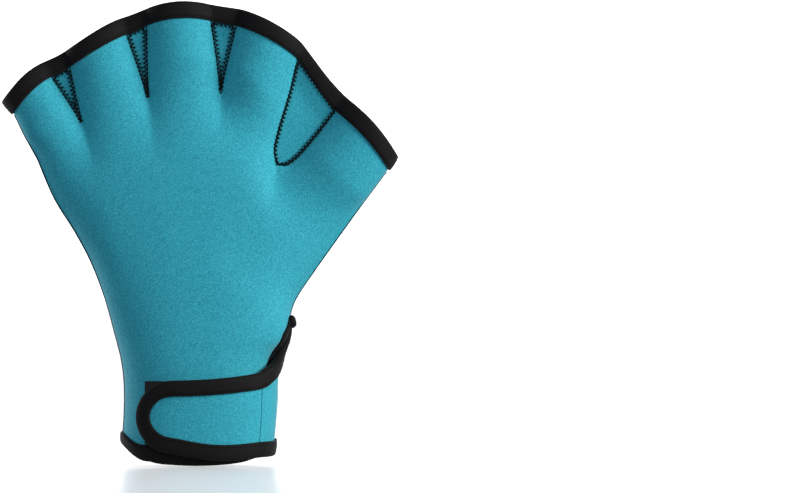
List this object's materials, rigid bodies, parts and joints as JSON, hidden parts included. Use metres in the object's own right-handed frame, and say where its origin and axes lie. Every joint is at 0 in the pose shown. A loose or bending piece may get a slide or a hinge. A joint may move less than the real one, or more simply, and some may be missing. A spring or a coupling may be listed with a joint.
{
  "type": "webbed swim glove",
  "caption": "Left-hand open-finger swim glove in thin neoprene, with webs between the fingers and a hook-and-loop wrist strap.",
  "frame": {"origin": "middle of the wrist opening, level with the lowest point of the cuff's edge", "axes": "+Z from the wrist to the fingertips, +X towards the thumb, +Y out of the palm, so the back of the hand faces -Y"},
  "size_m": [0.1979, 0.0557, 0.2305],
  "materials": {
    "neoprene_teal": "knit-faced foam, matt",
    "binding_black": "woven edge tape, soft sheen",
    "hook_loop_black": "hook and loop pile, matt"
  },
  "bodies": {
    "root": {"back_panel": "neoprene_teal", "palm_panel": "neoprene_teal", "wrist_strap": "neoprene_teal", "finger_binding_back": "binding_black", "finger_binding_palm": "binding_black", "cuff_binding": "binding_black", "slit_binding": "binding_black", "strap_binding": "binding_black", "loop_patch": "hook_loop_black", "hook_patch": "hook_loop_black"}
  },
  "joints": []
}
